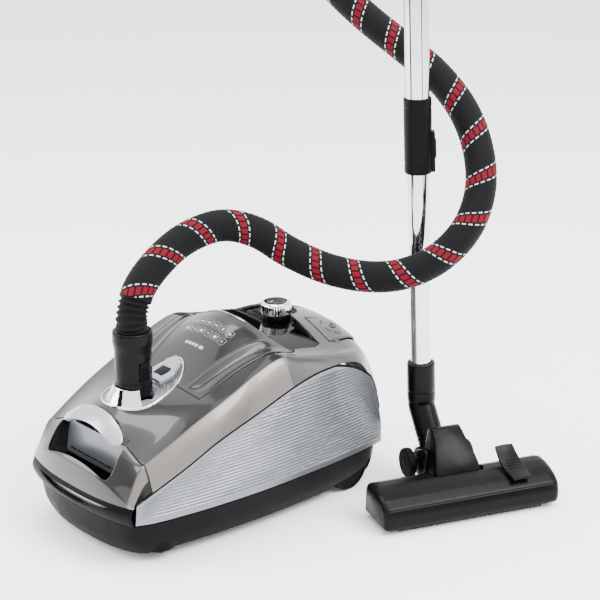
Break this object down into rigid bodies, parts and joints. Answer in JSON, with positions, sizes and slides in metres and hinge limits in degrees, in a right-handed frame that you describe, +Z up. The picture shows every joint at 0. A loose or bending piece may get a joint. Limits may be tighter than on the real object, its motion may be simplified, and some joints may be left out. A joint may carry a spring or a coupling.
{
  "type": "canister vacuum cleaner",
  "caption": "Low wheeled canister with a hinged dust lid, rear control panel and carry recess, a braided hose looping up to a bent handle, a telescopic wand and a swivelling floor head.",
  "frame": {"origin": "middle of the footprint on the floor, with the hose left out of the measure", "axes": "+Z up; the canister's nose points along -Y; the floor head and wand stand at its rear right, on +X"},
  "size_m": [0.5397, 0.6088, 1.1765],
  "materials": {
    "black_abs": "moulded ABS with a fine satin grain",
    "gloss_black": "polished acrylic",
    "metallic_grey": "ABS with metallic grey lacquer",
    "champagne": "ABS with pale champagne metallic lacquer",
    "panel_silver": "ABS with silver lacquer",
    "pale_silver": "ABS with pale silver lacquer",
    "chrome": "bright chrome plating",
    "rubber": "moulded rubber",
    "felt": "non-woven filter fleece",
    "copper": "enamelled copper windings on steel laminations",
    "hose_textile": "braided textile sleeve over a corrugated hose",
    "bristle": "nylon bristles"
  },
  "bodies": {
    "canister": {"lower_chassis": "black_abs", "front_bumper": "black_abs", "bumper_insert": "pale_silver", "nose_cover": "metallic_grey", "recess_tray": "black_abs", "recess_back_plate": "panel_silver", "rear_hood": "champagne", "control_panel": "gloss_black", "knob_base": "chrome", "side_panel_right": "panel_silver", "side_panel_left": "panel_silver", "exhaust_cover": "black_abs", "exhaust_filter": "felt", "cord_outlet": "black_abs", "bag_holder": "black_abs", "dust_bag": "felt", "pre_motor_filter": "felt", "bulkhead": "black_abs", "motor_housing": "black_abs", "motor_mount": "rubber", "rear_axle": "panel_silver", "hose": "hose_textile", "upper_tube": "chrome", "tube_sleeve": "black_abs", "handle_grip": "black_abs"},
    "latch_handle": {"latch_handle": "pale_silver"},
    "dust_lid": {"dust_lid": "metallic_grey", "inlet_bezel": "chrome", "inlet_seal": "rubber"},
    "accessory_lid": {"accessory_lid": "metallic_grey"},
    "release_button": {"release_button": "chrome"},
    "hose_cuff": {"hose_cuff": "black_abs"},
    "cuff_latch_left": {"cuff_latch_left": "black_abs"},
    "cuff_latch_right": {"cuff_latch_right": "black_abs"},
    "power_pedal": {"power_pedal": "champagne"},
    "rewind_pedal": {"rewind_pedal": "champagne"},
    "power_knob": {"power_knob": "chrome"},
    "motor_armature": {"motor_armature": "copper"},
    "cord_reel": {"cord_reel": "black_abs"},
    "rear_wheel_left": {"rear_wheel_left": "black_abs"},
    "rear_wheel_right": {"rear_wheel_right": "black_abs"},
    "caster_fork_left": {"caster_fork_left": "black_abs"},
    "caster_fork_right": {"caster_fork_right": "black_abs"},
    "caster_wheel_left": {"caster_wheel_left": "rubber"},
    "caster_wheel_right": {"caster_wheel_right": "rubber"},
    "lower_wand": {"lower_tube": "chrome", "neck_connector": "black_abs", "neck_elbow": "black_abs"},
    "sleeve_button": {"sleeve_button": "black_abs"},
    "air_slider": {"air_slider": "black_abs"},
    "handle_cuff": {"handle_cuff": "black_abs"},
    "neck_hub": {"neck_hub": "black_abs"},
    "neck_wheel_left": {"neck_wheel_left": "black_abs"},
    "neck_wheel_right": {"neck_wheel_right": "black_abs"},
    "neck_yoke": {"neck_yoke": "black_abs"},
    "floor_head": {"head_cover": "black_abs", "sole_plate": "black_abs"},
    "rocker_pedal": {"rocker_pedal": "black_abs"},
    "brush_carriage": {"brush_strip_front": "bristle", "brush_strip_rear": "bristle"}
  },
  "joints": [
    {"name": "lid_hinge", "type": "hinge", "parent": "canister", "child": "dust_lid", "pos_m": [-0.10841, 0.00784, 0.235], "axis": [-1, 0, 0], "range_deg": [0, 55], "deforming": ["hose"]},
    {"name": "accessory_lid_hinge", "type": "hinge", "parent": "dust_lid", "child": "accessory_lid", "pos_m": [-0.10841, 0.00784, 0.235], "axis": [-1, 0, 0], "range_deg": [0, 40]},
    {"name": "release_press", "type": "slide", "parent": "dust_lid", "child": "release_button", "axis": [0, 0, -1], "range_m": [0, 0.002], "stiffness_N_per_m": 600, "springref_m": -0.002},
    {"name": "hose_swivel", "type": "hinge", "parent": "dust_lid", "child": "hose_cuff", "pos_m": [-0.10841, -0.19216, 0.2], "axis": [0, 0, 1], "continuous": true},
    {"name": "cuff_latch_left_press", "type": "slide", "parent": "hose_cuff", "child": "cuff_latch_left", "axis": [1, 0, 0], "range_m": [0, 0.0012], "stiffness_N_per_m": 600, "springref_m": -0.002},
    {"name": "cuff_latch_right_press", "type": "slide", "parent": "hose_cuff", "child": "cuff_latch_right", "axis": [-1, 0, 0], "range_m": [0, 0.0012], "stiffness_N_per_m": 600, "springref_m": -0.002},
    {"name": "latch_handle_pull", "type": "hinge", "parent": "canister", "child": "latch_handle", "pos_m": [-0.10841, -0.25016, 0.186], "axis": [-1, 0, 0], "range_deg": [0, 20], "stiffness_Nm_per_rad": 1, "springref_deg": -11.46},
    {"name": "power_press", "type": "slide", "parent": "canister", "child": "power_pedal", "axis": [0, 0, -1], "range_m": [0, 0.0042], "stiffness_N_per_m": 800, "springref_m": -0.003},
    {"name": "rewind_press", "type": "slide", "parent": "canister", "child": "rewind_pedal", "axis": [0, 0, -1], "range_m": [0, 0.0042], "stiffness_N_per_m": 800, "springref_m": -0.003},
    {"name": "suction_knob", "type": "hinge", "parent": "canister", "child": "power_knob", "pos_m": [-0.10841, 0.06584, 0.255], "axis": [0, 0, 1], "range_deg": [-135, 135]},
    {"name": "motor_spin", "type": "hinge", "parent": "canister", "child": "motor_armature", "pos_m": [-0.16041, 0.04984, 0.096], "axis": [0, 1, 0], "continuous": true},
    {"name": "reel_spin", "type": "hinge", "parent": "canister", "child": "cord_reel", "pos_m": [-0.03641, 0.07384, 0.104], "axis": [1, 0, 0], "continuous": true},
    {"name": "rear_wheel_left_roll", "type": "hinge", "parent": "canister", "child": "rear_wheel_left", "pos_m": [-0.22741, 0.09584, 0.034], "axis": [1, 0, 0], "continuous": true},
    {"name": "rear_wheel_right_roll", "type": "hinge", "parent": "canister", "child": "rear_wheel_right", "pos_m": [0.01059, 0.09584, 0.034], "axis": [1, 0, 0], "continuous": true},
    {"name": "caster_left_swivel", "type": "hinge", "parent": "canister", "child": "caster_fork_left", "pos_m": [-0.20241, -0.23116, 0.04], "axis": [0, 0, 1], "continuous": true},
    {"name": "caster_right_swivel", "type": "hinge", "parent": "canister", "child": "caster_fork_right", "pos_m": [-0.01441, -0.23116, 0.04], "axis": [0, 0, 1], "continuous": true},
    {"name": "caster_left_roll", "type": "hinge", "parent": "caster_fork_left", "child": "caster_wheel_left", "pos_m": [-0.20241, -0.22516, 0.016], "axis": [1, 0, 0], "continuous": true},
    {"name": "caster_right_roll", "type": "hinge", "parent": "caster_fork_right", "child": "caster_wheel_right", "pos_m": [-0.01441, -0.22516, 0.016], "axis": [1, 0, 0], "continuous": true},
    {"name": "wand_telescope", "type": "slide", "parent": "canister", "child": "lower_wand", "axis": [-0.0143, -0.0373, 0.9992], "range_m": [0, 0.26]},
    {"name": "sleeve_button_slide", "type": "slide", "parent": "canister", "child": "sleeve_button", "axis": [-0.0143, -0.0373, 0.9992], "range_m": [0, 0.0055], "stiffness_N_per_m": 600, "springref_m": -0.002},
    {"name": "air_slider_slide", "type": "slide", "parent": "canister", "child": "air_slider", "axis": [-0.9336, 0.3584, 0], "range_m": [-0.002, 0.002]},
    {"name": "handle_swivel", "type": "hinge", "parent": "canister", "child": "handle_cuff", "pos_m": [-0.10054, 0.2241, 1.14118], "axis": [-0.8694, 0.3487, -0.3499], "continuous": true},
    {"name": "neck_swivel", "type": "hinge", "parent": "lower_wand", "child": "neck_hub", "pos_m": [0.09339, 0.19914, 0.045], "axis": [-0.5417, 0.1417, 0.8286], "range_deg": [-90, 90]},
    {"name": "neck_wheel_left_roll", "type": "hinge", "parent": "neck_hub", "child": "neck_wheel_left", "pos_m": [0.07691, 0.1562, 0.045], "axis": [0.3584, 0.9336, 0], "continuous": true},
    {"name": "neck_wheel_right_roll", "type": "hinge", "parent": "neck_hub", "child": "neck_wheel_right", "pos_m": [0.10987, 0.24208, 0.045], "axis": [0.3584, 0.9336, 0], "continuous": true},
    {"name": "neck_tilt", "type": "hinge", "parent": "neck_hub", "child": "neck_yoke", "pos_m": [0.09339, 0.19914, 0.045], "axis": [0.3584, 0.9336, 0], "range_deg": [0, 55]},
    {"name": "head_rock", "type": "hinge", "parent": "neck_yoke", "child": "floor_head", "pos_m": [0.15408, 0.17584, 0.034], "axis": [0.3584, 0.9336, 0], "range_deg": [-10, 25]},
    {"name": "rocker_press", "type": "hinge", "parent": "floor_head", "child": "rocker_pedal", "pos_m": [0.17461, 0.16795, 0.052], "axis": [0.3584, 0.9336, 0], "range_deg": [0, 5]},
    {"name": "brush_lift", "type": "slide", "parent": "floor_head", "child": "brush_carriage", "axis": [0, 0, 1], "range_m": [0, 0.0041]}
  ],
  "couplings": [
    {"joint": "brush_lift", "follows": "rocker_press", "m_per_rad": 0.04469}
  ]
}
